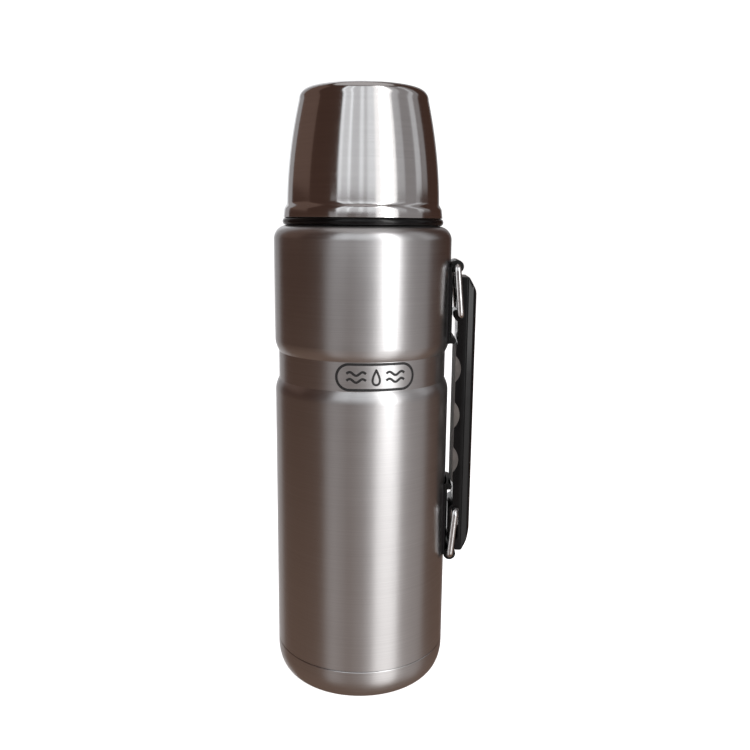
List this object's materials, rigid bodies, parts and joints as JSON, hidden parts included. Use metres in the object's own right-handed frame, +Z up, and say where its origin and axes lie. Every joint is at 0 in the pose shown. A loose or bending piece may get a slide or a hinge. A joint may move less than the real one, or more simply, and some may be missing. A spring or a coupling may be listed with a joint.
{
  "type": "vacuum flask",
  "caption": "Tall round steel vacuum flask with a recessed band, a tapered steel cup over a screw stopper, and a slim black side handle that folds out on wire bails.",
  "frame": {"origin": "centre of the flat base, on the body's axis, on the ground", "axes": "+Z up along the body's axis, +X from the axis to the handle, -Y towards the printed mark's side"},
  "size_m": [0.1052, 0.092, 0.3108],
  "materials": {
    "body_steel": "satin stainless steel with fine hairlines around the body",
    "cup_steel": "bright stainless steel with fine hairlines around the cup",
    "liner_steel": "plain stainless steel",
    "wire_steel": "polished stainless wire",
    "black_plastic": "glossy black moulded plastic",
    "inner_plastic": "matt black moulded plastic",
    "grip_rubber": "soft taupe elastomer",
    "seal_silicone": "translucent grey silicone",
    "foam": "rigid insulating foam",
    "foil": "bright radiation foil",
    "braze": "brazed seal",
    "screw_steel": "plated screws"
  },
  "bodies": {
    "root": {"outer_shell": "body_steel", "base_cap": "body_steel", "vacuum_base": "liner_steel", "seal_bead": "braze", "inner_liner": "liner_steel", "liner_bottom": "liner_steel", "foil_wrap": "foil", "getter": "liner_steel", "neck_collar": "black_plastic", "collar_gasket": "seal_silicone", "upper_bracket": "black_plastic", "lower_bracket": "black_plastic"},
    "upper_bail": {"upper_bail": "wire_steel"},
    "lower_bail": {"lower_bail": "wire_steel"},
    "handle": {"handle_shell": "black_plastic", "handle_core": "black_plastic", "handle_grip": "grip_rubber", "handle_screws": "screw_steel"},
    "stopper_seal_ring": {"stopper_seal": "seal_silicone"},
    "stopper": {"stopper_body": "inner_plastic", "stopper_insulation": "foam", "stopper_bottom": "inner_plastic", "stopper_knob": "inner_plastic"},
    "cup_seal_ring": {"cup_gasket": "seal_silicone"},
    "cup": {"cup_shell": "cup_steel", "cup_liner": "liner_steel", "cup_ring": "inner_plastic"}
  },
  "joints": [
    {"name": "bail_swing", "type": "hinge", "parent": "root", "child": "upper_bail", "pos_m": [0.0487, 0, 0.224], "axis": [0, -1, 0], "range_deg": [0, 40]},
    {"name": "handle_pivot", "type": "hinge", "parent": "upper_bail", "child": "handle", "pos_m": [0.051, 0, 0.1989], "axis": [0, -1, 0], "range_deg": [-40, 0]},
    {"name": "lower_bail_swing", "type": "hinge", "parent": "root", "child": "lower_bail", "pos_m": [0.0487, 0, 0.0686], "axis": [0, 1, 0], "range_deg": [0, 40]},
    {"name": "stopper_rise", "type": "slide", "parent": "root", "child": "stopper_seal_ring", "axis": [0, 0, 1], "range_m": [0, 0.025]},
    {"name": "stopper_turn", "type": "hinge", "parent": "stopper_seal_ring", "child": "stopper", "pos_m": [0, 0, 0.262], "axis": [0, 0, 1], "range_deg": [0, 1125]},
    {"name": "cup_rise", "type": "slide", "parent": "stopper", "child": "cup_seal_ring", "axis": [0, 0, 1], "range_m": [0, 0.04]},
    {"name": "cup_turn", "type": "hinge", "parent": "cup_seal_ring", "child": "cup", "pos_m": [0, 0, 0.262], "axis": [0, 0, 1], "range_deg": [0, 1800]}
  ],
  "couplings": [
    {"joint": "handle_pivot", "follows": "bail_swing", "ratio": -1},
    {"joint": "lower_bail_swing", "follows": "bail_swing", "ratio": 1},
    {"joint": "stopper_rise", "follows": "stopper_turn", "m_per_rad": 0.0012732},
    {"joint": "cup_rise", "follows": "cup_turn", "m_per_rad": 0.0012732}
  ]
}
